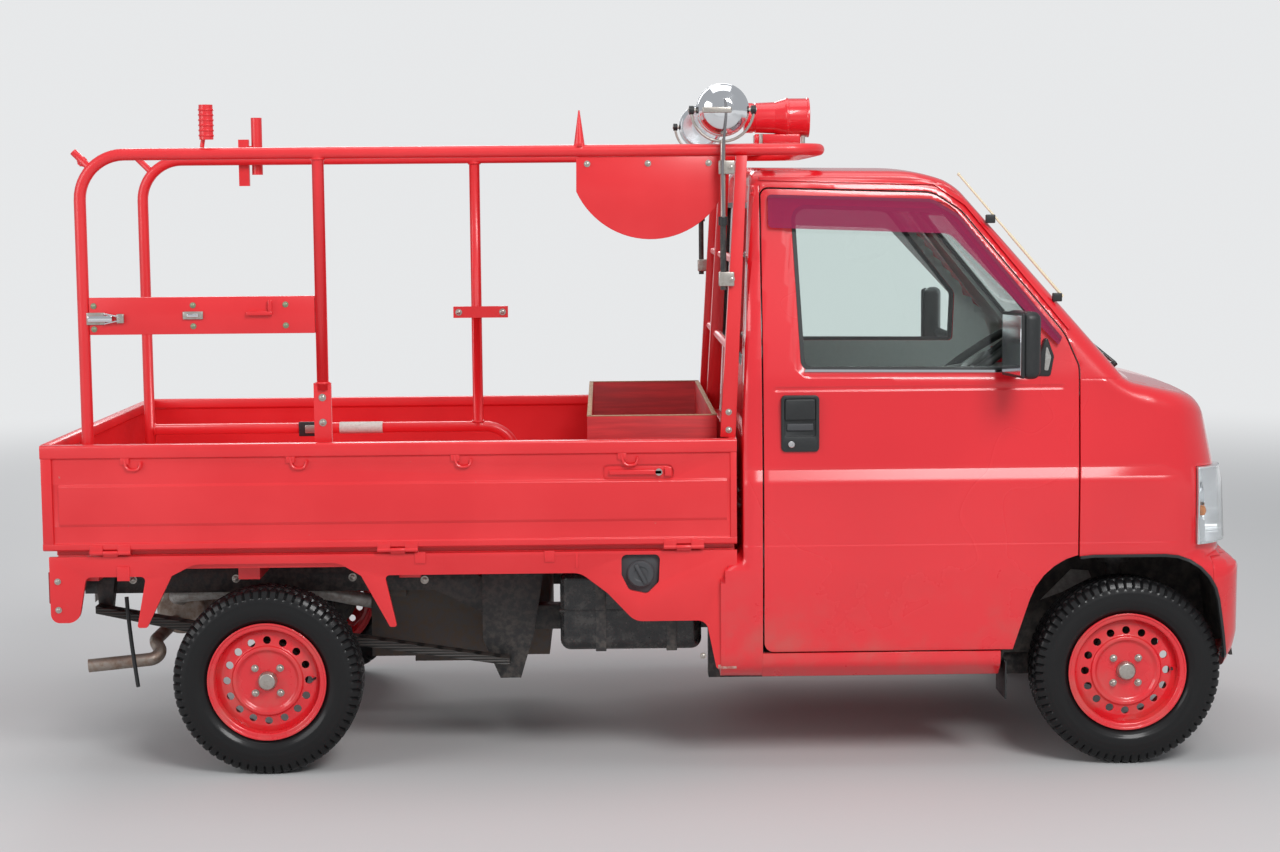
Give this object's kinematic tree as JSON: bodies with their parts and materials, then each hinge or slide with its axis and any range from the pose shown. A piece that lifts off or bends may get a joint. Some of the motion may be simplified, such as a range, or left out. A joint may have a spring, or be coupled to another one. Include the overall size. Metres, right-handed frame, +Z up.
{
  "type": "kei truck with drop-side bed and fire-brigade ladder rack",
  "caption": "Short-nosed mini truck with a two-seat cab, drop-side open bed, bent-tube ladder rack, searchlights and siren; doors, gates, wheels and steering move.",
  "frame": {"origin": "on the ground under the middle of the truck's overall length, on its centre plane", "axes": "+X forward, +Y to the truck's left, +Z up"},
  "size_m": [3.383, 1.8124, 1.9169],
  "materials": {
    "red_paint": "glossy body paint",
    "red_wheel_paint": "glossy wheel paint",
    "black_steel": "black underbody paint, dusty",
    "cast_iron": "rough casting",
    "steel": "bright rod",
    "exhaust_steel": "heat-stained steel",
    "bright_metal": "bright lamp shell",
    "black_plastic": "grained black plastic",
    "grey_plastic": "grained grey plastic",
    "smoked_plastic": "smoked clear plastic",
    "glass": "clear glass",
    "lamp_glass": "clear lens",
    "red_lens": "red lens",
    "painted_plywood": "red paint on plywood",
    "seat_fabric": "dark woven cloth",
    "tyre_rubber": "dressed black rubber"
  },
  "bodies": {
    "root": {"antenna": "steel", "arch_liners": "black_plastic", "bed_floor": "red_paint", "bumper": "red_paint", "cab_back": "red_paint", "cab_floor": "red_paint", "cab_roof": "red_paint", "chassis_frame": "black_steel", "dashboard": "grey_plastic", "engine_block": "cast_iron", "equipment_box": "painted_plywood", "exhaust": "exhaust_steel", "fenders": "red_paint", "front_panel": "red_paint", "front_suspension": "black_steel", "fuel_filler": "black_plastic", "fuel_tank": "black_steel", "guard_frame": "red_paint", "headlamps": "lamp_glass", "leaf_springs": "black_steel", "rack_fittings": "red_paint", "rack_left": "red_paint", "rack_plates": "red_paint", "rack_right": "red_paint", "rear_axle": "black_steel", "rear_window": "glass", "searchlights": "bright_metal", "seats": "seat_fabric", "siren": "red_paint", "skirts": "red_paint", "steering_wheel": "black_plastic", "tail_lamps": "red_lens", "windscreen": "glass", "wipers": "black_plastic"},
    "knuckle_right": {"knuckle_right": "cast_iron"},
    "knuckle_left": {"knuckle_left": "cast_iron"},
    "wheel_front_right": {"rim_front_right": "red_wheel_paint", "tyre_front_right": "tyre_rubber"},
    "wheel_front_left": {"rim_front_left": "red_wheel_paint", "tyre_front_left": "tyre_rubber"},
    "wheel_rear_right": {"rim_rear_right": "red_wheel_paint", "tyre_rear_right": "tyre_rubber"},
    "wheel_rear_left": {"rim_rear_left": "red_wheel_paint", "tyre_rear_left": "tyre_rubber"},
    "door_right": {"door_right": "red_paint", "door_glass_right": "glass", "door_fittings_right": "black_plastic", "visor_right": "smoked_plastic"},
    "door_left": {"door_left": "red_paint", "door_glass_left": "glass", "door_fittings_left": "black_plastic", "visor_left": "smoked_plastic"},
    "gate_right": {"gate_right": "red_paint"},
    "gate_left": {"gate_left": "red_paint"},
    "tailgate": {"tailgate": "red_paint"}
  },
  "joints": [
    {"name": "steer_right", "type": "hinge", "parent": "root", "child": "knuckle_right", "pos_m": [1.3475, -0.605, 0.265], "axis": [0, 0, 1], "range_deg": [-32, 32]},
    {"name": "steer_left", "type": "hinge", "parent": "root", "child": "knuckle_left", "pos_m": [1.3475, 0.605, 0.265], "axis": [0, 0, 1], "range_deg": [-32, 32]},
    {"name": "front_wheel_right_spin", "type": "hinge", "parent": "knuckle_right", "child": "wheel_front_right", "pos_m": [1.3475, -0.645, 0.265], "axis": [0, 1, 0], "continuous": true},
    {"name": "rear_wheel_right_spin", "type": "hinge", "parent": "root", "child": "wheel_rear_right", "pos_m": [-1.0725, -0.645, 0.265], "axis": [0, 1, 0], "continuous": true},
    {"name": "front_wheel_left_spin", "type": "hinge", "parent": "knuckle_left", "child": "wheel_front_left", "pos_m": [1.3475, 0.645, 0.265], "axis": [0, 1, 0], "continuous": true},
    {"name": "rear_wheel_left_spin", "type": "hinge", "parent": "root", "child": "wheel_rear_left", "pos_m": [-1.0725, 0.645, 0.265], "axis": [0, 1, 0], "continuous": true},
    {"name": "door_right_swing", "type": "hinge", "parent": "root", "child": "door_right", "pos_m": [1.1985, -0.737, 0.75], "axis": [0, 0, 1], "range_deg": [0, 65]},
    {"name": "gate_right_drop", "type": "hinge", "parent": "root", "child": "gate_right", "pos_m": [-0.7145, -0.7315, 0.64], "axis": [1, 0, 0], "range_deg": [0, 170]},
    {"name": "door_left_swing", "type": "hinge", "parent": "root", "child": "door_left", "pos_m": [1.1985, 0.737, 0.75], "axis": [0, 0, -1], "range_deg": [0, 65]},
    {"name": "gate_left_drop", "type": "hinge", "parent": "root", "child": "gate_left", "pos_m": [-0.7145, 0.7315, 0.64], "axis": [-1, 0, 0], "range_deg": [0, 170]},
    {"name": "tailgate_drop", "type": "hinge", "parent": "root", "child": "tailgate", "pos_m": [-1.6795, 0, 0.64], "axis": [0, -1, 0], "range_deg": [0, 170]}
  ],
  "couplings": [
    {"joint": "steer_left", "follows": "steer_right", "ratio": 1}
  ]
}
